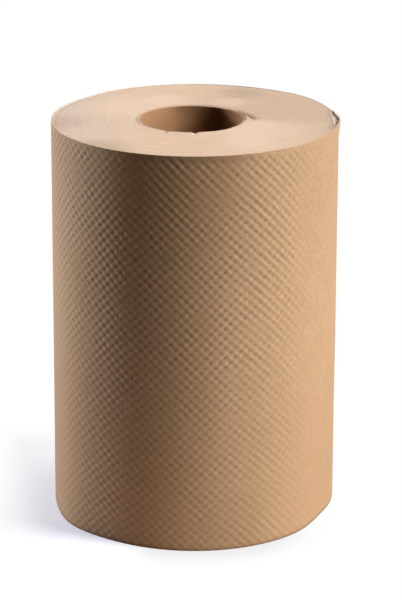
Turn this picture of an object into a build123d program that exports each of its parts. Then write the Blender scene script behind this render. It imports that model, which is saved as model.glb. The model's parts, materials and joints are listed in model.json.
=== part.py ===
from build123d import *
from math import cos, radians, sin
import os

# Paper towel roll standing on one end: a long embossed sheet wound hard on a cardboard core.
# The origin is on the core's axis in the plane that the roll stands on, +Z is up along the
# core, and the view that shows the roll best looks along +Y.

# Height of the roll, which is the width of its sheet
SHEET_WIDTH = 200.0
# Across the finished roll, over its outer turn
ROLL_DIAMETER = 143.0
# The winding's centre lies this far from the core's axis, so one side of the roll is thicker
WINDING_OFFSET = 1.7

# Cardboard core
CORE_BORE = 51.0
CORE_WALL = 1.5

# The embossed sheet at its loose bulk, which is the step that its end makes on the outside
SHEET_THICKNESS = 0.4
# The sheet's end, measured round the core from +X. Its last stretch stands off the turns
# below, which lie flatter from where it leaves them to a little past its end.
TAIL_ANGLE = 14.0
TAIL_LOOSE_ANGLE = 25.0
TAIL_FLAT_ANGLE = 16.0
TAIL_GAP = 1.6
TAIL_GAP_START = 0.15

# The wound edge of the sheet shows on both ends as a spiral of turns, drawn in bundles
TURN_BUNDLES = 13
TURN_EDGE_DEPTH = 0.4
# Plain rings beside the core and under the outer turn, where no edge stands out
INNER_LAND = 0.5
OUTER_LAND = 0.4

# The folded start of the sheet keeps a thin void open beside the core at the top end
START_FOLD_ANGLE = 42.0
START_FOLD_SWEEP = 46.0
START_FOLD_REACH = 4.4
START_FOLD_WIDTH = 0.7
START_FOLD_DEPTH = 9.0
START_FOLD_WALL = 0.4

# How far a cutting shape runs past the face that it opens
OVERRUN = 1.0

core_outer_radius = CORE_BORE / 2 + CORE_WALL
roll_radius = ROLL_DIAMETER / 2
# The two places where the outer turn crosses the line through the sheet's end
thick_side = roll_radius + WINDING_OFFSET
thin_side = roll_radius - WINDING_OFFSET


def half_turn(start, end):
    """Half circle between two places on the X axis, turning as the sheet is wound."""
    middle = (start + end) / 2
    bulge = (start - end) / 2
    return ThreePointArc((start, 0), (middle, bulge), (end, 0))


def polar(radius, angle):
    """Place at a radius and an angle about the core's axis, in the plan of the roll."""
    return radius * cos(radians(angle)), radius * sin(radians(angle))


def outer_turn():
    """Plan of the whole roll: its last two half turns and the step at the sheet's end."""
    one_turn_before = thick_side - SHEET_THICKNESS
    back = half_turn(one_turn_before, -thin_side)
    front = half_turn(-thin_side, thick_side)
    step = Line((thick_side, 0), (one_turn_before, 0))
    return make_face([back, front, step])


def tail_gap():
    """Plan of the air under the loose end of the sheet, where the turns below lie flatter."""
    # Angles and radii here are about the winding's centre, from the sheet's end
    under_sheet = roll_radius - SHEET_THICKNESS
    centre = Vector(WINDING_OFFSET, 0)

    def place(radius, angle):
        return centre + Vector(*polar(radius, angle))

    middle_angle = (TAIL_FLAT_ANGLE - TAIL_LOOSE_ANGLE) / 2
    first = place(under_sheet, -TAIL_LOOSE_ANGLE)
    first_inside = place(under_sheet - TAIL_GAP_START, -TAIL_LOOSE_ANGLE)
    sheet_end = place(under_sheet, 0)
    outside = place(under_sheet + OVERRUN, TAIL_FLAT_ANGLE)
    return make_face([
        ThreePointArc(first, place(under_sheet, -TAIL_LOOSE_ANGLE / 2), sheet_end),
        ThreePointArc(sheet_end, place(under_sheet + OVERRUN, TAIL_FLAT_ANGLE / 2), outside),
        ThreePointArc(outside, place(under_sheet - TAIL_GAP, middle_angle), first_inside),
        Line(first_inside, first),
    ])


def start_fold():
    """Plan of the void that the folded start of the sheet holds open beside the core."""
    root = core_outer_radius + START_FOLD_WALL
    far_angle = START_FOLD_ANGLE - START_FOLD_SWEEP
    middle_angle = START_FOLD_ANGLE - START_FOLD_SWEEP / 2
    middle = root + START_FOLD_REACH / 4
    near = polar(root, START_FOLD_ANGLE)
    far = polar(root + START_FOLD_REACH, far_angle)
    return make_face([
        ThreePointArc(near, polar(middle, middle_angle), far),
        ThreePointArc(far, polar(middle + START_FOLD_WIDTH, middle_angle), near),
    ])


def turn_edges():
    """Cutters for one end, down from its plane: half of each turn behind the core, half in front."""
    # Radii here are about the winding's centre
    start = core_outer_radius + WINDING_OFFSET + INNER_LAND
    end = roll_radius - SHEET_THICKNESS - TAIL_GAP - OUTER_LAND
    pitch = (end - start) / (TURN_BUNDLES + 1)
    halves = []
    for side, pitch_share in ((1, 1 / 4), (-1, 3 / 4)):
        # The halves' centres lie half a pitch apart, so that each turn runs on into the next
        centre = WINDING_OFFSET - side * pitch / 4
        radius = start + pitch * pitch_share
        outline = [(centre + side * radius, OVERRUN), (centre + side * radius, 0)]
        for bundle in range(TURN_BUNDLES):
            outline.append((centre + side * (radius + pitch / 2), -TURN_EDGE_DEPTH))
            radius += pitch
            outline.append((centre + side * radius, 0))
        outline[-1] = (centre + side * radius, OVERRUN)
        section = make_face(Plane.XZ * Polyline(outline, close=True))
        halves.append(revolve(section, Axis((centre, 0, 0), (0, 0, 1)), revolution_arc=180))
    return halves


def towel_winding():
    """All turns of the sheet as one body, with its loose end and the turns' edges on both ends."""
    roll = extrude(outer_turn(), SHEET_WIDTH)
    roll -= extrude(Circle(core_outer_radius), SHEET_WIDTH)
    roll -= extrude(tail_gap(), SHEET_WIDTH)
    upper = [Pos(0, 0, SHEET_WIDTH) * groove for groove in turn_edges()]
    lower = [mirror(groove, Plane.XY) for groove in turn_edges()]
    roll -= upper
    roll -= lower
    roll = Rot(0, 0, TAIL_ANGLE) * roll
    fold = extrude(start_fold(), START_FOLD_DEPTH + OVERRUN)
    return roll - Pos(0, 0, SHEET_WIDTH - START_FOLD_DEPTH) * fold


def core_tube():
    """Wound cardboard tube that the roll turns on, cut flush with the ends of the sheet."""
    return extrude(Circle(core_outer_radius) - Circle(CORE_BORE / 2), SHEET_WIDTH)


os.makedirs("parts", exist_ok=True)
export_step(towel_winding(), "parts/towel_winding.step")
export_step(core_tube(), "parts/core_tube.step")
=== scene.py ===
import json
from math import cos, pi, radians, sin

import bpy
import numpy as np
from bpy.props import FloatProperty, FloatVectorProperty, IntProperty, PointerProperty
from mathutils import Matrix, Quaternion, Vector


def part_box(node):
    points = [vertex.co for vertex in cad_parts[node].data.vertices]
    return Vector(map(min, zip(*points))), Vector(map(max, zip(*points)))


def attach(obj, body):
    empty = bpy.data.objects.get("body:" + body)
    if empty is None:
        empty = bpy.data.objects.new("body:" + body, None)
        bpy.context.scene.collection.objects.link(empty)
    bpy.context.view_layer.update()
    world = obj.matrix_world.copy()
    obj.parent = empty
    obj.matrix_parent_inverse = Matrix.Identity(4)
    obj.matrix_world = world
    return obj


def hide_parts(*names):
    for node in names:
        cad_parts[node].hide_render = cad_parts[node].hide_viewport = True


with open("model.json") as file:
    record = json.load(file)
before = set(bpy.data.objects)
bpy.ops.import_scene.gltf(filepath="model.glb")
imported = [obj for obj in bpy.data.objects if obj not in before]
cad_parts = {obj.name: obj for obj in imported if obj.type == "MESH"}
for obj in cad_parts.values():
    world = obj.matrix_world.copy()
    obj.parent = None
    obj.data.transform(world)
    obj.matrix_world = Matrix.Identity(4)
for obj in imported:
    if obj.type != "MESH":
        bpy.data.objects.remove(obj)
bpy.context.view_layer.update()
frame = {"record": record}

bl_info = {
    "name": "Paper Towel Roll",
    "version": (1, 0, 0),
    "blender": (4, 5, 0),
    "location": "3D View > Sidebar > Towel Roll",
    "description": "Dresses a hardwound roll of embossed brown towel, and lights it",
    "category": "Add Mesh",
}

MM = 0.001
FULL_TURN = 2 * pi

# Main sizes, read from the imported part
WINDING_LOW, WINDING_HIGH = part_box("towel_winding")
BORE_MOUNT = next(m for m in frame["record"]["mounts"] if m["name"] == "core_bore")
HEIGHT = WINDING_HIGH.z
CORE_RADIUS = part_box("core_tube")[1].x
BORE_RADIUS = BORE_MOUNT["dims"]["r_mm"] * MM

# The winding's centre lies off the core's axis, towards the sheet's end
SHEET_END = radians(14)
WINDING_OFFSET = 1.7 * MM
CENTRE = np.array([cos(SHEET_END), sin(SHEET_END)]) * WINDING_OFFSET
ROLL_RADIUS = float(CENTRE[1]) - WINDING_LOW.y

# Rows of pits up the roll, counted in the photograph
EMBOSS_ROWS = 42


class TowelRollSizes(bpy.types.PropertyGroup):
    """Sizes of the sheet, its emboss and the edges of its turns."""

    sheet_thickness: FloatProperty(
        name="Sheet Thickness", description="Bulk of the loose embossed sheet",
        default=0.4 * MM, unit="LENGTH", precision=5)
    emboss_height: FloatProperty(
        name="Emboss Height", description="How far the crossed emboss stands from the sheet's middle",
        default=0.105 * MM, unit="LENGTH", precision=5)
    emboss_columns: IntProperty(
        name="Emboss Columns", description="Columns of pits round one turn", default=92)
    emboss_row: FloatProperty(
        name="Emboss Row", description="Height of one repeat of the emboss",
        default=HEIGHT / EMBOSS_ROWS, unit="LENGTH", precision=5)
    loose_angle: FloatProperty(
        name="Loose Stretch", description="Angle over which the sheet's end stands off",
        default=radians(25), unit="ROTATION")
    loose_lift: FloatProperty(
        name="Loose Lift", description="How far the sheet's end springs out at the top",
        default=0.75 * MM, unit="LENGTH", precision=5)
    flat_depth: FloatProperty(
        name="Flattened Depth", description="How deep the turns lie under the loose stretch",
        default=2.1 * MM, unit="LENGTH", precision=5)
    narrowing: FloatProperty(
        name="Narrowing", description="How much smaller the roll's radius is at the top",
        default=0.94 * MM, unit="LENGTH", precision=5)
    turn_bundles: IntProperty(
        name="Turn Bundles", description="Bundles of turns that stand out on the ends", default=14)
    bundle_depth: FloatProperty(
        name="Bundle Depth", description="Deepest groove between two bundles of turns",
        default=0.14 * MM, unit="LENGTH", precision=5)


class TowelRollColours(bpy.types.PropertyGroup):
    """Colours of the paper and the board."""

    sheet: FloatVectorProperty(
        name="Sheet", description="Face of the brown sheet", subtype="COLOR",
        size=3, min=0, max=1, default=(0.62, 0.40, 0.235))
    turn_edges: FloatVectorProperty(
        name="Turn Edges", description="Cut edges of the sheet on both ends", subtype="COLOR",
        size=3, min=0, max=1, default=(0.805, 0.59, 0.43))
    sheet_back: FloatVectorProperty(
        name="Sheet Back", description="Back and cut edges of the brown sheet", subtype="COLOR",
        size=3, min=0, max=1, default=(0.86, 0.77, 0.68))
    board_edge: FloatVectorProperty(
        name="Board Edge", description="Cut ends of the core's board", subtype="COLOR",
        size=3, min=0, max=1, default=(0.66, 0.48, 0.35))
    board: FloatVectorProperty(
        name="Board", description="Wall of the core", subtype="COLOR",
        size=3, min=0, max=1, default=(0.40, 0.222, 0.112))


class TowelRollStage(bpy.types.PropertyGroup):
    """Floor and lamps."""

    floor_radius: FloatProperty(
        name="Floor Radius", description="Radius of the floor", default=0.27, unit="LENGTH")
    right_strength: FloatProperty(
        name="Right Lamp", description="Strength of the lamp on the right", default=4.32)
    left_strength: FloatProperty(
        name="Left Lamp", description="Strength of the lamp behind on the left", default=3.05)
    surroundings: FloatProperty(
        name="Surroundings", description="Strength of the light from all round", default=0.05)


class Value:
    """A number on a surface: Python's arithmetic on it adds the Math nodes."""

    def __init__(self, finish, socket):
        self.finish = finish
        self.socket = socket

    def other(self, name):
        """Another output of the same node."""
        return Value(self.finish, self.socket.node.outputs[name])

    def math(self, operation, *values):
        """A Math node whose first value is this one."""
        inputs = dict(enumerate((self, *values)))
        return self.finish.node("ShaderNodeMath", {"operation": operation}, inputs)

    def __add__(self, value):
        return self.math("ADD", value)

    __radd__ = __add__

    def __sub__(self, value):
        return self.math("SUBTRACT", value)

    def __rsub__(self, value):
        return self.finish.node("ShaderNodeMath", {"operation": "SUBTRACT"}, {0: value, 1: self})

    def __mul__(self, value):
        return self.math("MULTIPLY", value)

    __rmul__ = __mul__

    def __truediv__(self, value):
        return self.math("DIVIDE", value)

    def between(self, low, high):
        """0 below low and 1 above high, with a smooth step from one to the other."""
        return self.finish.node(
            "ShaderNodeMapRange", {"interpolation_type": "SMOOTHSTEP"},
            {"Value": self, "From Min": low, "From Max": high})

    def within(self, start, end):
        """1 on a stretch that fades in between two places and fades out between two others."""
        return self.between(*start) * (1 - self.between(*end))


class Finish:
    """A material or a world that is put together from nodes."""

    def __init__(self, owner):
        self.owner = owner
        owner.use_nodes = True
        self.nodes = owner.node_tree.nodes
        self.links = owner.node_tree.links
        self.nodes.clear()

    def node(self, kind, settings=None, inputs=None, output=0):
        """Adds a node: its settings first, then the values or links of its sockets."""
        made = self.nodes.new(kind)
        for name, setting in (settings or {}).items():
            setattr(made, name, setting)
        for name, value in (inputs or {}).items():
            if isinstance(value, Value):
                self.links.new(value.socket, made.inputs[name])
            else:
                made.inputs[name].default_value = value
        if not made.outputs:
            return made
        return Value(self, made.outputs[output])

    def mix(self, factor, first, second):
        """Mixes two colours."""
        inputs = {0: factor, 6: opaque(first), 7: opaque(second)}
        return self.node("ShaderNodeMix", {"data_type": "RGBA"}, inputs, output=2)

    def layers(self, tone, layers):
        """Lays tints over a tone in turn, each with the places where it lies and its share there."""
        for where, share, tint in layers:
            tone = self.mix(where * share, tone, tint)
        return tone

    def place(self, scale=(1, 1, 1)):
        """Place on the object in millimetres, times a scale for each axis."""
        position = self.node("ShaderNodeTexCoord", output="Object")
        factors = tuple(s / MM for s in scale)
        return self.node("ShaderNodeVectorMath", {"operation": "MULTIPLY"}, {0: position, 1: factors})

    def parts(self, vector):
        """The three parts of a vector."""
        x = self.node("ShaderNodeSeparateXYZ", None, {0: vector})
        return x, x.other("Y"), x.other("Z")

    def seen(self):
        """1 where the camera looks, also in a mirror or through glass, and 0 for all other light."""
        path = self.node("ShaderNodeLightPath", output="Is Camera Ray")
        mirrored = path.math("MAXIMUM", path.other("Is Glossy Ray"))
        return mirrored.math("MAXIMUM", path.other("Is Transmission Ray"))

    def noise(self, vector, scale, detail=2.0, roughness=0.5):
        """Noise with so many swings in each unit of the vector."""
        return self.node(
            "ShaderNodeTexNoise", None,
            {"Vector": vector, "Scale": scale, "Detail": detail, "Roughness": roughness})

    def glow(self, colour):
        """Shader of a colour that needs no light."""
        return self.node("ShaderNodeEmission", None, {"Color": opaque(colour), "Strength": 1.0})

    def matt(self, colour):
        """Shader of a plain matt colour."""
        return self.node("ShaderNodeBsdfDiffuse", None, {"Color": opaque(colour)})

    def background(self, colour, strength):
        """Shader of the light from all round."""
        return self.node("ShaderNodeBackground", None, {"Color": opaque(colour), "Strength": strength})

    def blend(self, factor, first, second):
        """Mixes two shaders."""
        return self.node("ShaderNodeMixShader", None, {0: factor, 1: first, 2: second})

    def paper(self, colour, roughness, relief):
        """Matt surface with its colour, its roughness and its fine relief in millimetres."""
        bump = self.node("ShaderNodeBump", None, {"Strength": 1.0, "Distance": MM, "Height": relief})
        shader = self.node(
            "ShaderNodeBsdfPrincipled", None,
            {"Base Color": colour, "Roughness": roughness, "Specular IOR Level": 0.1, "Normal": bump})
        self.node("ShaderNodeOutputMaterial", None, {"Surface": shader})


def opaque(colour):
    """A colour with nothing to see through; one from a node is so already."""
    return colour if isinstance(colour, Value) else (*colour, 1.0)


def shade(colour, factor):
    """A colour made darker or lighter."""
    return tuple(min(1.0, channel * factor) for channel in colour)


def distance(x, y):
    """Length of the straight way across and back to a place on a surface."""
    return (x * x + y * y).math("SQRT")


# Colours laid over the paper and board where they differ in hue from the plain ones; all but the
# greyer and the paler end are painted shade
SHADED_FOOT = (0.49, 0.308, 0.173)
SHADED_FRONT = (0.45, 0.272, 0.15)
GREY_END = (0.6, 0.56, 0.56)
SHADED_END_RIM = (0.41, 0.31, 0.265)
PALER_END = (0.87, 0.66, 0.51)
SHADED_FOLD = (0.42, 0.27, 0.165)
SHADED_SLACK_EDGES = (0.72, 0.62, 0.53)
SHADED_BOARD = (0.045, 0.011, 0.004)
SHADED_BOARD_TOP = (0.25, 0.115, 0.035)
SHADED_BOARD_EDGE = (0.3, 0.185, 0.1)
# Floor: its glow and its colour in the shadow, and what it returns to the roll from near and far
SHADOW_GLOW = (0.39, 0.4, 0.475)
SHADOWED_FLOOR = (0.84, 0.84, 0.84)
NEAR_FLOOR = (0.27, 0.22, 0.2)
FAR_FLOOR = (0.47, 0.385, 0.35)
WHITE, BLACK = (1.0, 1.0, 1.0), (0.0, 0.0, 0.0)

# Paler and darker places on the top end in millimetres: across, back and reach of each, and how
# strongly it shows; the first darker one is painted shade in a dent
PALER_PLACES = (
    (-34, 22, 28, 0.6), (30, -20, 26, 0.6), (-15, 37, 19, 0.7), (19, 34, 12, 0.5), (28, -43, 20, 0.6))
DARKER_PLACES = ((25, 53, 15, 0.5), (-66, -8, 19, 0.5), (-43, -54, 21, 0.55))
# Such a place shows fully within this reach of its middle
PLACE_MIDDLE = 5.0

# The start of the sheet, folded beside the core, in degrees: where it begins and how far it reaches
FOLD_START = 42.0
FOLD_REACH = 46.0
# The strip of painted shade along it in millimetres: distance from the core, and how far it spreads
# out
FOLD_SHADE_DISTANCE = 0.6
FOLD_SHADE_SPREAD = 4.6
# How far the sides of the sector with painted shade wander, in degrees
SECTOR_WANDER = 28.65

# Width of the core's plies and half the width of their joint, in millimetres
PLY_WIDTH = 62.0
PLY_JOINT = 0.5

# Name of the emboss on the mesh: columns before a place, rows below it, and its strength
EMBOSS = "emboss"


def embossed_paper(name, colour, back, sizes):
    """Face of the sheet: brown recycled fibre, with painted shade in the emboss's pits and painted
    highlights on its ridges.
    """
    finish = Finish(bpy.data.materials.new(name))
    place = finish.place()
    mottling = finish.noise(place, 0.11, detail=3.0, roughness=0.6)
    clouds = finish.noise(place, 0.024)
    fibres = finish.noise(finish.place((1.0, 1.0, 0.42)), 1.9, detail=4.0, roughness=0.65)
    grain = finish.noise(place, 5.5)
    flecks = finish.noise(finish.place((1.0, 1.0, 0.8)), 0.95, detail=1.0)
    specks = finish.noise(place, 2.6, detail=0.0)

    # Stretches of the face in millimetres, across from the axis and up from the base
    x, _, level = finish.parts(place)
    upper_left = x.within((-50, -38), (-28, -14)) * level.between(160, 186)
    middle = x.within((-34, -14), (12, 32)) * (1 - level.between(168, 190))
    lower_left = x.within((-52, -42), (-26, -16)) * (1 - level.between(85, 125))
    right = x.between(10, 42)
    far_right = x.between(40, 66)
    far_left = (0 - x).between(54, 70)
    front = x.within((-40, -8), (10, 38))
    belly = x.within((-25, -8), (4, 20)) * level.within((20, 80), (150, 175))
    heel = x.within((-2, 12), (28, 42)) * (1 - level.between(4, 40))
    low = 1 - level.between(30, 75)

    # The mesh says how many columns and rows of pits lie before a place, and how deep they are
    emboss = finish.node("ShaderNodeAttribute", {"attribute_name": EMBOSS}, output="Vector")
    column, row, strength = finish.parts(emboss)
    wave = (column * FULL_TURN).math("COSINE") * (row * FULL_TURN).math("COSINE")
    pressed = strength * (1 - far_right * 0.4) * (1 + low * 0.25) * (1 - upper_left * 0.5)
    painted_emboss_light = pressed * (1.05 + middle * 0.6 - right * 0.62 + lower_left * 0.3)
    pits = (0 - wave).between(0.2, 0.95) * painted_emboss_light
    ridges = wave.between(0.2, 0.95) * painted_emboss_light

    # Each layer has the places where it lies, its share there and its tint
    fibre = finish.mix(mottling.between(0.25, 0.75), shade(colour, 0.95), shade(colour, 1.05))
    tone = finish.layers(fibre, (
        (clouds.between(0.3, 0.7), 0.5, shade(colour, 1.05)),
        (fibres.between(0.35, 0.75), 0.5, shade(colour, 0.83)),
        (grain.between(0.5, 0.8), 0.3, shade(colour, 1.15)),
        (flecks.between(0.5, 0.68), 0.35, shade(colour, 1.2)),
        (1 - flecks.between(0.32, 0.5), 0.35, shade(colour, 0.72)),
        (specks.between(0.7, 0.8), 0.3, shade(colour, 0.6)),
        # Painted shade in the emboss's pits and painted highlights on its ridges
        (pits, 0.68, shade(colour, 0.55)),
        (ridges, 0.52, shade(colour, 1.34)),
        # Painted shade: darker towards the foot, on the middle of the front, at the front's right foot
        # and low on the far left
        (1 - level.between(10, 120), 0.5, SHADED_FOOT),
        (belly, 0.3, shade(colour, 0.72)),
        (heel, 0.3, shade(colour, 0.6)),
        ((1 - level.between(20, 130)) * far_left, 0.5, shade(colour, 0.74)),
        # Painted shade under the top rim, and a darker painted band just below the top edge
        (level.between(130, 190) * front, 0.7, SHADED_FRONT),
        (level.between(195, 198.5) * front, 0.6, shade(colour, 0.5)),
        # Painted contact shadow along the base edge
        (1 - level.between(0.3, 2.2), 0.7, shade(colour, 0.45)),
    ))
    # The back of the sheet is the part of the mesh that has no emboss
    tone = finish.mix(strength.between(0.0, 0.1), back, tone)
    crispness = 0.58 - middle * 0.35 + right * 0.42 + lower_left * 0.25
    raised = (wave + ridges * 0.6 - pits * 0.8) * pressed * crispness * (sizes.emboss_height / MM)
    finish.paper(tone, 0.92 - fibres * 0.1, fibres * 0.055 + grain * 0.04 + raised)
    return finish.owner


def turn_edge_paper(name, colour):
    """Cut edges of the turns: paler than the face, streaked along the turns."""
    finish = Finish(bpy.data.materials.new(name))
    place = finish.place()
    x, y, level = finish.parts(place)
    bearing = y.math("ARCTAN2", x).math("DEGREES")

    # How far out a place lies, from 0 at the core to 1 at the outer turn
    core = CORE_RADIUS / MM
    width = ROLL_RADIUS / MM - core
    from_axis = distance(x, y)
    out = (from_axis - core) / width
    shifted_x = x - out * (float(CENTRE[0]) / MM)
    shifted_y = y - out * (float(CENTRE[1]) / MM)
    radius = distance(shifted_x, shifted_y)

    def streaks(turns, along):
        """Noise drawn out along the turns, with so many swings outwards and along."""
        east, north = shifted_x / radius * along, shifted_y / radius * along
        vector = finish.node(
            "ShaderNodeCombineXYZ", None, {0: radius * (turns / width), 1: east, 2: north})
        return finish.noise(vector, 1.0, roughness=0.6)

    fine = streaks(260.0, 9.0)
    middle = streaks(70.0, 4.0)
    broad = streaks(16.0, 2.0)
    patches = finish.noise(place, 0.07, detail=3.0, roughness=0.6)

    # Stretches of the end in degrees from the right, or in millimetres
    sector = (bearing + (patches - 0.5) * SECTOR_WANDER).within((-11, 1), (55, 100))
    right_rim = out.between(0.88, 0.96) * bearing.within((-22, -10), (6, 18))
    slack = 1 - level.between(HEIGHT / MM - 1.1, HEIGHT / MM - 0.7)
    round_fold = (FOLD_START - bearing) / FOLD_REACH
    from_fold = from_axis - core - FOLD_SHADE_DISTANCE - round_fold * round_fold * FOLD_SHADE_SPREAD
    from_fold = from_fold.math("ABSOLUTE")
    fold = (1 - from_fold.between(0.6, 3.6)) * round_fold.within((-0.15, 0.2), (0.7, 1.1))

    def marks(places, tint):
        """Layers for soft round places on the end."""
        for across, back, reach, share in places:
            from_middle = distance(x - across, y - back)
            yield 1 - from_middle.between(PLACE_MIDDLE, reach), share, tint

    edges = finish.mix(broad.between(0.3, 0.7), shade(colour, 0.95), shade(colour, 1.05))
    tone = finish.layers(edges, (
        (middle.between(0.35, 0.7), 0.4, shade(colour, 0.93)),
        (fine.between(0.4, 0.75), 0.35, shade(colour, 0.84)),
        (patches.between(0.35, 0.75), 0.35, shade(colour, 0.92)),
        # Painted shade on a sector of the end
        (sector, 0.7, shade(colour, 0.78)),
        ((0 - x).between(20, 62), 0.3, GREY_END),
        # Painted shade on the end's outer right and on its right rim
        (x.between(48, 66), 0.6, shade(colour, 0.82)),
        (right_rim, 0.6, SHADED_END_RIM),
        # Paler and darker soft places; the first darker one is painted shade in a dent
        *marks(PALER_PLACES, PALER_END),
        *marks(DARKER_PLACES, shade(colour, 0.66)),
        # Painted shade along the fold beside the core
        (fold, 0.62, SHADED_FOLD),
        # Grey painted shade on the slack turns' edges under the loose stretch
        (slack, 0.8, SHADED_SLACK_EDGES),
    ))
    finish.paper(tone, 0.95, fine * 0.078 + middle * 0.042)
    return finish.owner


def core_board(name, colour, edge):
    """Smooth brown board with the faint spiral joint of its plies, and painted shade on the dark side
    of the bore and its rim.
    """
    finish = Finish(bpy.data.materials.new(name))
    place = finish.place()
    x, y, level = finish.parts(place)
    bearing = y.math("ARCTAN2", x).math("DEGREES")
    top = HEIGHT / MM
    ply = (level / PLY_WIDTH + bearing / 360).math("FRACT")
    joint = 1 - (ply - 0.5).math("ABSOLUTE").between(0.0, PLY_JOINT / PLY_WIDTH)
    fibres = finish.noise(finish.place((1.0, 1.0, 0.5)), 1.1, detail=4.0, roughness=0.6)
    clouds = finish.noise(place, 0.08)

    # Stretches of the wall in degrees from the right, and in millimetres up it; all but the cut ends
    # get painted shade
    shaded_side = bearing.within((36, 56), (61, 92))
    shaded_top = bearing.within((-60, -30), (40, 60)) * level.between(top - 6.0, top - 1.5)
    shaded_rim = bearing.within((66, 86), (98, 116)) * level.between(top - 9.0, top - 1.5)
    shaded_cut = bearing.within((-15, 5), (40, 55))
    cut = (level - top / 2).math("ABSOLUTE").between(top / 2 - 0.45, top / 2 - 0.15)

    board = finish.mix(clouds.between(0.3, 0.7), shade(colour, 0.95), shade(colour, 1.05))
    tone = finish.layers(board, (
        (fibres.between(0.4, 0.75), 0.3, shade(colour, 0.85)),
        (joint, 0.2, shade(colour, 0.65)),
        # Painted shade on the dark side of the bore, near its top and below its rim
        (shaded_side, 0.85, SHADED_BOARD),
        (shaded_top, 0.7, SHADED_BOARD_TOP),
        (shaded_rim, 0.4, SHADED_BOARD),
    ))
    rim = finish.mix(fibres.between(0.3, 0.7), edge, shade(edge, 0.85))
    # The cut ends, with painted shade on their right part
    tone = finish.mix(cut, tone, finish.mix(shaded_cut * 0.8, rim, SHADED_BOARD_EDGE))
    finish.paper(tone, 0.8 - fibres * 0.1, fibres * 0.04 - joint * 0.08)
    return finish.owner


def floor_finish(name):
    """White floor to the camera that keeps the shadow, and a pale grey floor to all other light."""
    finish = Finish(bpy.data.materials.new(name))
    seen = finish.seen()
    x, y, _ = finish.parts(finish.place())

    # Stretches of the floor in millimetres where it is plain white, without the shadow
    left = (0 - x).between(62, 108)
    right = x.between(-50, -15)
    behind = y.between(-25, 55) * 0.62 + y.between(40, 115) * 0.38
    plain = left.math("MAXIMUM", behind).math("MAXIMUM", right)
    # A painted contact shadow: the dark line where the roll stands
    painted_contact_shadow = (1 - distance(x, y).between(68, 92)) * (1 - x.between(35, 72)) * 0.17

    glow, lit = finish.glow(SHADOW_GLOW), finish.matt(SHADOWED_FLOOR)
    shadowed = finish.node("ShaderNodeAddShader", None, {0: glow, 1: lit})
    bright = finish.blend(painted_contact_shadow, finish.glow(WHITE), finish.glow(BLACK))
    white = finish.blend(plain, shadowed, bright)
    # Towards the camera the floor returns more light to the roll
    grey = finish.blend((0 - y).between(40, 90), finish.matt(NEAR_FLOOR), finish.matt(FAR_FLOOR))
    both = finish.blend(seen, grey, white)
    finish.node("ShaderNodeOutputMaterial", None, {"Surface": both})
    return finish.owner


class Unevenness:
    """Smooth noise from -1 to 1, the same on each run."""

    # Length of the table of random numbers, and how far apart two rows of a plane begin in it
    LENGTH = 4096
    ROW_STEP = 57.0

    def __init__(self, seed):
        self.table = np.random.default_rng(seed).uniform(-1, 1, self.LENGTH)

    def along(self, place):
        """Noise on a line, with one swing about every unit."""
        first = np.floor(place).astype(int)
        before = self.table[first % self.LENGTH]
        after = self.table[(first + 1) % self.LENGTH]
        return before + (after - before) * smooth(place - first)

    def over(self, across, up, swing=(1, 1), start=(0, 0)):
        """Noise on a plane: the length and height of a swing, and where the plane starts."""
        across = across / swing[0] + start[0]
        up = up / swing[1] + start[1]
        row = np.floor(up).astype(int)
        below = self.along(across + row * self.ROW_STEP)
        above = self.along(across + (row + 1) * self.ROW_STEP)
        return below + (above - below) * smooth(up - row)


def smooth(share):
    """Smooth step from 0 to 1."""
    share = np.clip(share, 0, 1)
    return share * share * (3 - 2 * share)


def step(value, low, high):
    """0 below low and 1 above high, with a smooth step from one to the other."""
    return smooth((value - low) / (high - low))


# Seeds of the noise on the sheet, on both ends and on the core
SHEET_SEED, TOP_SEED, BASE_SEED, CORE_SEED = 11, 23, 31, 5
# Two faces that turn this much against each other meet in a sharp edge
SHARP_ANGLE = radians(38)

# Samples of the mesh over one column and one row of the emboss
COLUMN_SAMPLES = 6
ROW_SAMPLES = 4
# The last turn begins so many samples under its own loose end
COVERED_SAMPLES = 3
# Shares of the height at which the hidden walls follow the loose end
RING_SHARES = (0.3, 0.6, 0.82, 0.95, 0.975)

# Where each end is out of round, from the sheet's end, and how far it lies out there
TOP_OUT_OF_ROUND = ((radians(26), 1.3 * MM), (radians(130), -0.9 * MM))
BASE_OUT_OF_ROUND = (
    (radians(166), 0.2 * MM), (radians(199), 2.1 * MM), (radians(322), -2.2 * MM))
# How narrow such a bulge is round the roll: more is narrower
BULGE_NARROWNESS = 30
# The flattened stretch: its middle, from the sheet's end, and how far it reaches to each side
FLAT_MIDDLE = radians(-12.5)
FLAT_REACH = radians(12.9)

# The loose stretch springs out until this share of it is left
SPRUNG_SHARE = 0.375
# Its very end comes back so much, over so far
END_RETURN = 0.85
END_RETURN_ANGLE = radians(11)
# The end's lift in shares of the loose lift: all the way up, more in the curl, and less below it
PLAIN_LIFT = 0.33
CURL_LIFT = 1.55
WAIST_LIFT = 0.15
# Levels in millimetres over which the curl and the waist below it set in
CURL_LEVELS = (190, 200)
WAIST_LEVELS = (165, 190)
# Where the last turn begins, the sheet is tapered over this angle from a share of its thickness
TAPER_ANGLE = radians(1.6)
TAPERED_SHARE = 0.1

# Noise on the sheet: length and height of a swing in millimetres, and where it starts in the table
LIFT_NOISE = (30, 45), (7, 0)
COLUMN_NOISE = (24, 20), (0, 0)
ROW_NOISE = (26, 22), (300, 9)
BROAD_NOISE = (13, 11), (90, 0)
FINE_NOISE = (3.4, 3.4), (40, 60)
SLACK_NOISE = (55, 70), (500, 3)
# How far that noise moves the loose end, the pits in shares of their repeat, and the slack sheet
LIFT_WANDER = 0.25 * MM
PIT_WANDER = 0.09
SLACK_WANDER = 0.10 * MM
# How unevenly the emboss is pressed, in broad and in fine patches
BROAD_PATCHES = 0.25
FINE_PATCHES = 0.45
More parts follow.
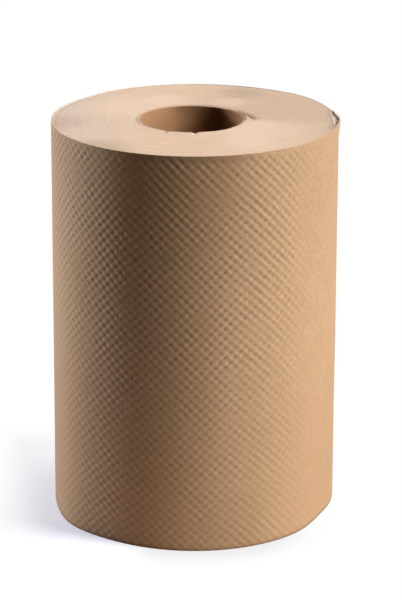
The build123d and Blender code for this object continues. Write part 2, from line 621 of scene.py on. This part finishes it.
# Between these angles the emboss gets flatter towards the sheet's end, but less where that stands off
IRONED_ANGLES = (FULL_TURN - radians(68), FULL_TURN - radians(44))
IRONED_LOSS = 0.8
STAND_OFF_GAIN = 0.4
# Side where the emboss is rubbed flatter, from the sheet's end, and how narrow that side is
RUBBED_SIDE = radians(190)
RUBBED_NARROWNESS = 12
RUBBED_LOSS = 0.25
# Strength of the emboss at the foot, how much it gains further up and over which levels
FOOT_STRENGTH = 0.55
RISING_GAIN = 0.38
RISING_LEVELS = (40, 150)
# The emboss is crushed at the top edge, over these levels
CRUSHED_LOSS = 0.6
CRUSHED_LEVELS = (196, 199)
# It is nowhere shallower than this share
LEAST_STRENGTH = 0.12
# The slack of the sheet fades out round its end
SLACK_ANGLES = (FULL_TURN - radians(8), FULL_TURN + radians(2))
# The sheet's edges are rounded by so much over so many millimetres
EDGE_ROUNDING = 0.12 * MM
ROUNDED_REACH = 1.5


def piece_from(name, points, faces, material):
    """Links a closed mesh to the scene as a smooth piece that rides on the roll."""
    mesh = bpy.data.meshes.new(name)
    mesh.from_pydata(points, [], faces)
    mesh.validate()
    mesh.shade_smooth()
    mesh.set_sharp_from_angle(angle=SHARP_ANGLE)
    mesh.materials.append(material)
    piece = bpy.data.objects.new(name, mesh)
    bpy.context.scene.collection.objects.link(piece)
    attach(piece, "root")
    return piece


def plan(radius, angle, centre):
    """Places in plan at a radius about a centre and an angle from the sheet's end."""
    turned = angle + SHEET_END
    return centre[0] + radius * np.cos(turned), centre[1] + radius * np.sin(turned)


def flattening(angle, sizes):
    """How far the turns under the loose stretch lie below the round."""
    share = np.clip(1 - ((angle - FLAT_MIDDLE) / FLAT_REACH) ** 2, 0, 1)
    return sizes.flat_depth * share


def near_angle(angle, place, narrowness):
    """1 at a place round the roll, softly down to 0 away from it."""
    return np.exp(-narrowness * (1 - np.cos(angle - place)))


def bulges(angle, places):
    """Sum of soft bulges and hollows round the roll."""
    return sum(amount * near_angle(angle, place, BULGE_NARROWNESS) for place, amount in places)


def sheet_radius(angle, height, sizes):
    """Radius of the last turn's outer face, without its emboss, from before its end round to it."""
    spiral = np.where(angle < pi, (1 + np.cos(np.maximum(angle, 0))) / 2, 0)
    # Narrower at the top, and a little out of round at both ends
    top = -sizes.narrowing + bulges(angle, TOP_OUT_OF_ROUND)
    base = bulges(angle, BASE_OUT_OF_ROUND)
    round_radius = ROLL_RADIUS + base + (top - base) * height / HEIGHT
    return round_radius - sizes.sheet_thickness * spiral - flattening(angle, sizes)


def stand_off(angle, height, sizes):
    """Share of its spring at a place of the sheet's loose end, and how far it stands off there."""
    level = height / MM
    loose = sizes.loose_angle
    share = step(angle, FULL_TURN - loose, FULL_TURN - SPRUNG_SHARE * loose)
    share = share * (1 - END_RETURN * step(angle, FULL_TURN - END_RETURN_ANGLE, FULL_TURN))
    curl = CURL_LIFT * step(level, *CURL_LEVELS) - WAIST_LIFT * step(level, *WAIST_LEVELS)
    lift = sizes.loose_lift * (PLAIN_LIFT + curl)
    wander = Unevenness(SHEET_SEED).over(angle * ROLL_RADIUS / MM, level, *LIFT_NOISE) * LIFT_WANDER
    return share, share * (lift + wander)


def sheet_thickness(angle, first, sizes):
    """Thickness of the sheet, which is tapered where the piece begins."""
    taper = step(angle, first, first + TAPER_ANGLE)
    return sizes.sheet_thickness * (TAPERED_SHARE + (1 - TAPERED_SHARE) * taper)


def emboss_strength(uneven, angle, length, level, lift_share):
    """How deep the emboss is at each point of the sheet, as a share of its full height."""
    pressed = 1 + BROAD_PATCHES * uneven.over(length, level, *BROAD_NOISE)
    pressed = pressed + FINE_PATCHES * uneven.over(length, level, *FINE_NOISE)
    ironed = step(angle, *IRONED_ANGLES) * (1 - STAND_OFF_GAIN * lift_share)
    rubbed = near_angle(angle, RUBBED_SIDE, RUBBED_NARROWNESS)
    strength = pressed * (1 - IRONED_LOSS * ironed) * (1 - RUBBED_LOSS * rubbed)
    strength = strength * (FOOT_STRENGTH + RISING_GAIN * step(level, *RISING_LEVELS))
    strength = strength * (1 - CRUSHED_LOSS * step(level, *CRUSHED_LEVELS))
    return np.maximum(strength, LEAST_STRENGTH)


def numbered(points, first=0):
    """Numbers of a grid of points, counted on from the first."""
    return first + np.arange(points.shape[0] * points.shape[1]).reshape(points.shape[:2])


def quads(first, second, third, fourth):
    """Four arrays of corner numbers as a list of faces."""
    return np.stack([a.ravel() for a in (first, second, third, fourth)], -1).tolist()


def outer_turn_shape(sizes):
    """The last turn of the sheet: its points, its faces and the emboss at each point."""
    per_turn = sizes.emboss_columns * COLUMN_SAMPLES
    columns = per_turn + COVERED_SAMPLES
    rows = round(HEIGHT / sizes.emboss_row * ROW_SAMPLES)
    first = -COVERED_SAMPLES / per_turn * FULL_TURN
    angle = np.linspace(first, FULL_TURN, columns + 1)[:, None]
    height = np.linspace(0, HEIGHT, rows + 1)[None, :]
    length = angle * ROLL_RADIUS / MM
    level = height / MM
    uneven = Unevenness(SHEET_SEED)

    # Columns and rows of pits wander a little, and the sheet is a little slack
    lift_share, lift = stand_off(angle, height, sizes)
    column = angle / FULL_TURN * sizes.emboss_columns
    column = column + uneven.over(length, level, *COLUMN_NOISE) * PIT_WANDER
    row = height / sizes.emboss_row + uneven.over(length, level, *ROW_NOISE) * PIT_WANDER
    strength = emboss_strength(uneven, angle, length, level, lift_share)
    relief = sizes.emboss_height * strength * np.cos(FULL_TURN * column) * np.cos(FULL_TURN * row)
    slack = uneven.over(length, level, *SLACK_NOISE) * SLACK_WANDER * (1 - step(angle, *SLACK_ANGLES))
    rounding = EDGE_ROUNDING * (1 - step(np.minimum(level, HEIGHT / MM - level), 0, ROUNDED_REACH))
    radius = sheet_radius(angle, height, sizes) + lift + relief + slack - rounding

    x, y = plan(radius, angle, CENTRE)
    outer = np.stack([x, y, height + 0 * x], -1)
    rings = np.array([(0, *RING_SHARES, 1)]) * HEIGHT
    inner_radius = sheet_radius(angle, rings, sizes) + stand_off(angle, rings, sizes)[1]
    x, y = plan(inner_radius - sheet_thickness(angle, first, sizes), angle, CENTRE)
    inner = np.stack([x, y, rings + 0 * x], -1)
    emboss = np.concatenate(
        [np.stack([column, row, strength], -1).reshape(-1, 3), np.zeros(inner.shape).reshape(-1, 3)])

    number = numbered(outer)
    inside = numbered(inner, number.size)
    faces = quads(number[:-1, :-1], number[1:, :-1], number[1:, 1:], number[:-1, 1:])
    faces += quads(inside[:-1, :-1], inside[:-1, 1:], inside[1:, 1:], inside[1:, :-1])
    faces += quads(number[:-1, -1], number[1:, -1], inside[1:, -1], inside[:-1, -1])
    faces += quads(inside[:-1, 0], inside[1:, 0], number[1:, 0], number[:-1, 0])
    faces.append(inside[-1].tolist() + number[-1, ::-1].tolist())
    faces.append(number[0].tolist() + inside[0, ::-1].tolist())
    return np.concatenate([outer.reshape(-1, 3), inner.reshape(-1, 3)]), faces, emboss


# How deep the slack turns lie under the loose stretch, and over how far their edge is softened
SLACK_DEPTH = 0.9 * MM
SLACK_SOFTNESS = 0.2 * MM
# The inner turns reach so far into the last turn that no gap shows
CLOSING = 0.02 * MM
# Swings of the turns' noise in one turn
TURN_SWINGS = 2.3
# Sharpness of the grooves between the bundles of turns, and the shallowest one's share
GROOVE_SHARPNESS = 1.5
LEAST_GROOVE = 0.45
# Waves of the turns' edges: height, start in the noise and swings from the core outwards
EDGE_WAVES = ((0.10 * MM, 3, 5), (0.055 * MM, 7, 38), (0.05 * MM, 9, 71))
# Broad swell of the end: height, and length of a swing in millimetres
SWELL = 0.12 * MM
SWELL_SWING = (26, 26)
# The end's rim droops: how far, over which shares of the way out, and length of a swing in millimetres
RIM_DROOP = 0.16 * MM
RIM_SHARES = (0.9, 0.98)
RIM_SWING = 2.2
# All relief ends at the core and comes down to a share at the rim
CORE_SHARES = (0, 0.02)
LAST_SHARES = (0.98, 1)
RIM_LOSS = 0.6
# The turns' edges lie so far below the end's plane
END_SINK = 0.12 * MM

# The void beside the core in millimetres: distance and spread of its near side, and its width
FOLD_DISTANCE = 0.4
FOLD_SPREAD = 4.4
FOLD_WIDTH = 1.2
FOLD_SOFTNESS = 0.25
CREASE_REACH = 1.8
# Shares of the fold's length over which its crease sets in and dies out
CREASE_START = (0, 1 / 8)
CREASE_END = (5 / 6, 1)
FOLD_DEPTH = 0.5 * MM
CREASE_DEPTH = 0.7 * MM

# Dents in the top end and notches in the core's rim in millimetres: place, reach and depth
TOP_DENTS = (
    ((23, 52), (5.5, 3.5), 0.7), ((16, 38), (4.0, 2.5), 0.6),
    ((1.8, -28.0), (1.2, 1.2), 0.9), ((-12.4, -25.6), (1.2, 1.2), 0.8))
RIM_NOTCHES = (((1.8, -26.2), (1.1, 1.6), 0.9), ((-11.8, -23.8), (1.2, 1.6), 0.8))

# Columns of the inner turns' mesh round the roll, and its rings on each end from the core outwards
INNER_COLUMNS = 400
FOLD_RINGS, TOP_RINGS, BASE_RINGS = 40, 107, 83
# The fine rings round the fold reach out to this share
FOLD_RING_SHARE = 0.14


def layer_noise(uneven, out, angle, turns):
    """Noise that follows the spiral of the turns, with so many swings from the core outwards."""
    lap = angle / FULL_TURN
    place = out * turns - lap
    layer = np.floor(place)
    inner = uneven.along((layer + lap) * TURN_SWINGS)
    outer = uneven.along((layer + 1 + lap) * TURN_SWINGS)
    return inner + (outer - inner) * smooth(place - layer)


def end_relief(out, angle, x, y, sizes, seed):
    """Height of the turns' edges against the end's plane, zero or less."""
    uneven = Unevenness(seed)
    lap = np.mod(angle, FULL_TURN)
    turn = out * sizes.turn_bundles - lap / FULL_TURN
    groove = (0.5 + 0.5 * np.cos(turn * FULL_TURN)) ** GROOVE_SHARPNESS
    share = 0.5 + 0.5 * layer_noise(uneven, out, lap, sizes.turn_bundles)
    relief = -sizes.bundle_depth * (LEAST_GROOVE + (1 - LEAST_GROOVE) * share) * groove
    for height, start, swings in EDGE_WAVES:
        relief = relief + height * layer_noise(uneven, out + start, lap, swings)
    relief = relief + SWELL * uneven.over(x / MM, y / MM, SWELL_SWING)
    droop = 1 + uneven.along(lap * ROLL_RADIUS / MM / RIM_SWING)
    relief = relief - RIM_DROOP * step(out, *RIM_SHARES) * droop
    ends = step(out, *CORE_SHARES) * (1 - RIM_LOSS * step(out, *LAST_SHARES))
    return np.minimum(relief - END_SINK, 0) * ends


def dents(x, y, places):
    """Soft dents at their places of the top, zero or less."""
    total = 0
    for (across, back), (long, wide), depth in places:
        away = ((x / MM - across) / long) ** 2 + ((y / MM - back) / wide) ** 2
        total = total - depth * MM * np.exp(-away)
    return total


def start_fold(x, y):
    """Depth of the void beside the core that the folded start of the sheet holds open."""
    radius = np.hypot(x, y) / MM
    share = np.clip((FOLD_START - np.degrees(np.arctan2(y, x))) / FOLD_REACH, 0, 1)
    near = CORE_RADIUS / MM + FOLD_DISTANCE + FOLD_SPREAD * share ** 2
    width = FOLD_WIDTH * 4 * share * (1 - share)
    away = np.abs(radius - near - width / 2)
    opened = (1 - step(away - width / 2, -FOLD_SOFTNESS, FOLD_SOFTNESS)) * smooth(width)
    crease = step(share, *CREASE_START) * (1 - step(share, *CREASE_END))
    crease = crease * np.exp(-(away / CREASE_REACH) ** 2)
    return -(opened * FOLD_DEPTH + crease * CREASE_DEPTH)


def inner_turns_shape(sizes):
    """All turns under the last one, as one closed body with the turns' edges on both ends."""
    first = -COVERED_SAMPLES / (sizes.emboss_columns * COLUMN_SAMPLES) * FULL_TURN
    angle = first + np.arange(INNER_COLUMNS)[:, None] / INNER_COLUMNS * FULL_TURN

    def wall(level):
        """Radius of the turns' outer face, which fills the last turn at each height."""
        last = sheet_radius(angle, level, sizes) + stand_off(angle, level, sizes)[1]
        return last - sheet_thickness(angle, first, sizes) + CLOSING

    def end(shares, top):
        """Points of the top end or of the base, at shares of the way from the core outwards."""
        level = HEIGHT if top else 0
        inner_x, inner_y = plan(CORE_RADIUS, angle, (0, 0))
        outer_x, outer_y = plan(wall(level + 0 * angle), angle, CENTRE)
        x = inner_x + (outer_x - inner_x) * shares
        y = inner_y + (outer_y - inner_y) * shares
        relief = end_relief(shares + 0 * angle, angle, x, y, sizes, TOP_SEED if top else BASE_SEED)
        # Under the loose stretch the slack turns lie deeper than the wound ones
        wound = np.where(angle > pi, sheet_radius(angle - FULL_TURN, level, sizes), ROLL_RADIUS)
        past_wound = np.hypot(x - CENTRE[0], y - CENTRE[1]) - wound
        relief = relief - SLACK_DEPTH * step(past_wound, -SLACK_SOFTNESS, SLACK_SOFTNESS)
        if top:
            relief = relief + dents(x, y, TOP_DENTS) + start_fold(x, y)
        return np.stack([x, y, HEIGHT + relief if top else -relief], -1)

    round_fold = np.linspace(0, FOLD_RING_SHARE, FOLD_RINGS, endpoint=False)
    outwards = np.linspace(FOLD_RING_SHARE, 1, TOP_RINGS + 1)
    top = end(np.concatenate([round_fold, outwards])[None, :], True)
    base = end(np.linspace(0, 1, BASE_RINGS + 1)[None, :], False)
    level = np.array([RING_SHARES]) * HEIGHT
    x, y = plan(wall(level), angle, CENTRE)
    side = np.stack([x, y, level + 0 * x], -1)

    over = numbered(top)
    under = numbered(base, over.size)
    rings = numbered(side, over.size + under.size)
    rings = np.concatenate([under[:, -1:], rings, over[:, -1:]], 1)
    over, under, rings = (np.concatenate([grid, grid[:1]]) for grid in (over, under, rings))
    faces = quads(over[:-1, :-1], over[:-1, 1:], over[1:, 1:], over[1:, :-1])
    faces += quads(under[:-1, :-1], under[1:, :-1], under[1:, 1:], under[:-1, 1:])
    faces += quads(rings[:-1, :-1], rings[1:, :-1], rings[1:, 1:], rings[:-1, 1:])
    faces += quads(over[:-1, 0], over[1:, 0], under[1:, 0], under[:-1, 0])
    return np.concatenate([part.reshape(-1, 3) for part in (top, base, side)]), faces


# The core's mesh: columns round it and levels of its inner wall
CORE_COLUMNS = 240
CORE_LEVELS = 26
# The core's rims are softened by so much, and rounded on the inner wall over this share of it
RIM_SOFTNESS = 0.3 * MM
RIM_SHARE = 0.3
# The core's inner wall wanders: how far, its swings over a radius, and their height in millimetres
WALL_WANDER = 0.08 * MM
WALL_SWINGS = 2
WALL_SWING_HEIGHT = 40
# The core's rims are frayed by so much, with so many swings over a radius, down to this depth
FRAYING = 0.12 * MM
FRAYED_SWINGS = 9
FRAYED_REACH = 0.6 * MM


def core_shape():
    """The core as a tube with slightly softened, uneven rims."""
    soft = RIM_SOFTNESS
    little = soft * RIM_SHARE
    section = [(BORE_RADIUS, z) for z in np.linspace(soft, HEIGHT - soft, CORE_LEVELS)]
    section += [(BORE_RADIUS + little, HEIGHT - little), (BORE_RADIUS + soft, HEIGHT)]
    section += [(CORE_RADIUS - soft, HEIGHT), (CORE_RADIUS, HEIGHT - soft)]
    section += [(CORE_RADIUS, soft), (CORE_RADIUS - soft, 0)]
    section += [(BORE_RADIUS + soft, 0), (BORE_RADIUS + little, little)]
    radius, level = np.array(section).T[:, None, :]
    angle = np.arange(CORE_COLUMNS)[:, None] / CORE_COLUMNS * FULL_TURN
    uneven = Unevenness(CORE_SEED)
    east, north = np.cos(angle), np.sin(angle)
    wander = uneven.over(east * WALL_SWINGS + level / MM / WALL_SWING_HEIGHT, north * WALL_SWINGS)
    on_inner_wall = radius < (BORE_RADIUS + CORE_RADIUS) / 2
    radius = radius + np.where(on_inner_wall, wander * WALL_WANDER, 0)
    x, y = radius * east, radius * north
    at_top = level > HEIGHT / 2
    near_end = 1 - step(np.minimum(level, HEIGHT - level), 0, FRAYED_REACH)
    sunk = FRAYING * (1 + uneven.over(east * FRAYED_SWINGS, north * FRAYED_SWINGS))
    sunk = near_end * (sunk - np.where(at_top, dents(x, y, RIM_NOTCHES), 0))
    points = np.stack([x, y, level + np.where(at_top, -sunk, sunk)], -1)
    number = numbered(points)
    number = np.concatenate([number, number[:1]])
    number = np.concatenate([number, number[:, :1]], 1)
    faces = quads(number[:-1, :-1], number[:-1, 1:], number[1:, 1:], number[1:, :-1])
    return points.reshape(-1, 3), faces


class TOWEL_OT_outer_turn(bpy.types.Operator):
    """Make the last turn of the sheet, with its emboss and its loose end"""

    bl_idname = "towel_roll.outer_turn"
    bl_label = "Outer Turn"

    def execute(self, context):
        sizes = context.scene.towel_roll_sizes
        colours = context.scene.towel_roll_colours
        points, faces, emboss = outer_turn_shape(sizes)
        material = embossed_paper("embossed_paper", colours.sheet, colours.sheet_back, sizes)
        piece = piece_from("outer_turn", points, faces, material)
        attribute = piece.data.attributes.new(EMBOSS, "FLOAT_VECTOR", "POINT")
        attribute.data.foreach_set("vector", emboss.ravel())
        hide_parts("towel_winding")
        return {"FINISHED"}


class TOWEL_OT_inner_turns(bpy.types.Operator):
    """Make the turns under the last one, whose edges show on both ends"""

    bl_idname = "towel_roll.inner_turns"
    bl_label = "Inner Turns"

    def execute(self, context):
        sizes = context.scene.towel_roll_sizes
        colours = context.scene.towel_roll_colours
        points, faces = inner_turns_shape(sizes)
        material = turn_edge_paper("turn_edge_paper", colours.turn_edges)
        piece = piece_from("inner_turns", points, faces, material)
        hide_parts("towel_winding")
        return {"FINISHED"}


class TOWEL_OT_core(bpy.types.Operator):
    """Make the cardboard core that lines the hole"""

    bl_idname = "towel_roll.core"
    bl_label = "Core"

    def execute(self, context):
        colours = context.scene.towel_roll_colours
        points, faces = core_shape()
        material = core_board("core_board_finish", colours.board, colours.board_edge)
        piece = piece_from("core", points, faces, material)
        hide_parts("core_tube")
        return {"FINISHED"}


# Sides of the round floor, and how far it lies below the roll
FLOOR_SIDES = 128
FLOOR_DEPTH = 0.02 * MM

# Lamps: direction and height in degrees, colour, and softness in degrees
RIGHT_LAMP = (76, 35, (1.0, 0.985, 0.96), 28)
LEFT_BACK_LAMP = (-118, 10, (0.97, 1.04, 1.2), 18)
SURROUNDINGS_COLOUR = (1.0, 0.8, 0.7)

# Camera, fitted to the roll's outline in the photograph
CAMERA_PLACE = Vector((3.57, -1151.3, 500.3)) * MM
CAMERA_DOWN, CAMERA_YAW, CAMERA_ROLL = radians(18.916), radians(0.067), radians(0.164)
CAMERA_LENS = 144.98
SENSOR_WIDTH = 36
NEAREST, FARTHEST = 0.1, 20


def add_lamp(name, strength, azimuth, elevation, colour, softness):
    """A soft distant lamp; azimuth 0 is at the camera and 90 is to its right."""
    data = bpy.data.lights.new(name, "SUN")
    data.energy = strength
    data.color = colour
    data.angle = radians(softness)
    lamp = bpy.data.objects.new(name, data)
    a, e = radians(azimuth), radians(elevation)
    towards = Vector((sin(a) * cos(e), -cos(a) * cos(e), sin(e)))
    lamp.rotation_euler = towards.to_track_quat("Z", "Y").to_euler()
    bpy.context.scene.collection.objects.link(lamp)


def add_floor(radius):
    """A round floor just below the roll."""
    rim = [(radius * cos(i / FLOOR_SIDES * FULL_TURN), radius * sin(i / FLOOR_SIDES * FULL_TURN), 0)
           for i in range(FLOOR_SIDES)]
    mesh = bpy.data.meshes.new("floor")
    mesh.from_pydata(rim, [], [list(range(FLOOR_SIDES))])
    mesh.materials.append(floor_finish("white_floor"))
    floor = bpy.data.objects.new("floor", mesh)
    floor.location.z = -FLOOR_DEPTH
    bpy.context.scene.collection.objects.link(floor)


def add_surroundings(strength):
    """White surroundings to the camera that light the roll only faintly."""
    world = bpy.data.worlds.new("white_surroundings")
    bpy.context.scene.world = world
    finish = Finish(world)
    seen = finish.seen()
    dim, white = finish.background(SURROUNDINGS_COLOUR, strength), finish.background(WHITE, 1.0)
    finish.node("ShaderNodeOutputWorld", None, {"Surface": finish.blend(seen, dim, white)})


def add_camera():
    """The camera that sees the roll as the photograph does."""
    data = bpy.data.cameras.new("camera")
    data.lens = CAMERA_LENS
    data.sensor_width = SENSOR_WIDTH
    data.clip_start = NEAREST
    data.clip_end = FARTHEST
    camera = bpy.data.objects.new("camera", data)
    forward = Vector((
        sin(CAMERA_YAW) * cos(CAMERA_DOWN), cos(CAMERA_YAW) * cos(CAMERA_DOWN), -sin(CAMERA_DOWN)))
    camera.location = CAMERA_PLACE
    turned = forward.to_track_quat("-Z", "Y") @ Quaternion((0, 0, 1), CAMERA_ROLL)
    camera.rotation_euler = turned.to_euler()
    bpy.context.scene.collection.objects.link(camera)
    bpy.context.scene.camera = camera


class TOWEL_OT_stage(bpy.types.Operator):
    """Make the floor, the lamps, the white surroundings and the camera"""

    bl_idname = "towel_roll.stage"
    bl_label = "Floor, Lamps and Camera"

    def execute(self, context):
        stage = context.scene.towel_roll_stage
        add_floor(stage.floor_radius)
        add_lamp("right_lamp", stage.right_strength, *RIGHT_LAMP)
        add_lamp("left_back_lamp", stage.left_strength, *LEFT_BACK_LAMP)
        add_surroundings(stage.surroundings)
        add_camera()
        context.scene.view_settings.view_transform = "Standard"
        return {"FINISHED"}


class VIEW3D_PT_towel_roll(bpy.types.Panel):
    """Lists the pieces of the towel roll"""

    bl_label = "Towel Roll"
    bl_space_type = "VIEW_3D"
    bl_region_type = "UI"
    bl_category = "Towel Roll"

    def draw(self, context):
        for group in SETTINGS:
            settings = getattr(context.scene, group)
            for name in settings.__annotations__:
                self.layout.prop(settings, name)
        for operator in OPERATORS:
            self.layout.operator(operator.bl_idname)


SETTINGS = {
    "towel_roll_sizes": TowelRollSizes,
    "towel_roll_colours": TowelRollColours,
    "towel_roll_stage": TowelRollStage,
}
OPERATORS = (TOWEL_OT_stage, TOWEL_OT_outer_turn, TOWEL_OT_inner_turns, TOWEL_OT_core)


def register():
    for group in SETTINGS.values():
        bpy.utils.register_class(group)
    for name, group in SETTINGS.items():
        setattr(bpy.types.Scene, name, PointerProperty(type=group))
    for operator in OPERATORS:
        bpy.utils.register_class(operator)
    bpy.utils.register_class(VIEW3D_PT_towel_roll)


def unregister():
    bpy.utils.unregister_class(VIEW3D_PT_towel_roll)
    for operator in reversed(OPERATORS):
        bpy.utils.unregister_class(operator)
    for name in SETTINGS:
        delattr(bpy.types.Scene, name)
    for group in reversed(SETTINGS.values()):
        bpy.utils.unregister_class(group)


def main():
    """Makes the stage and the pieces."""
    register()
    bpy.ops.towel_roll.stage()
    bpy.ops.towel_roll.outer_turn()
    bpy.ops.towel_roll.inner_turns()
    bpy.ops.towel_roll.core()


if __name__ == "__main__":
    main()
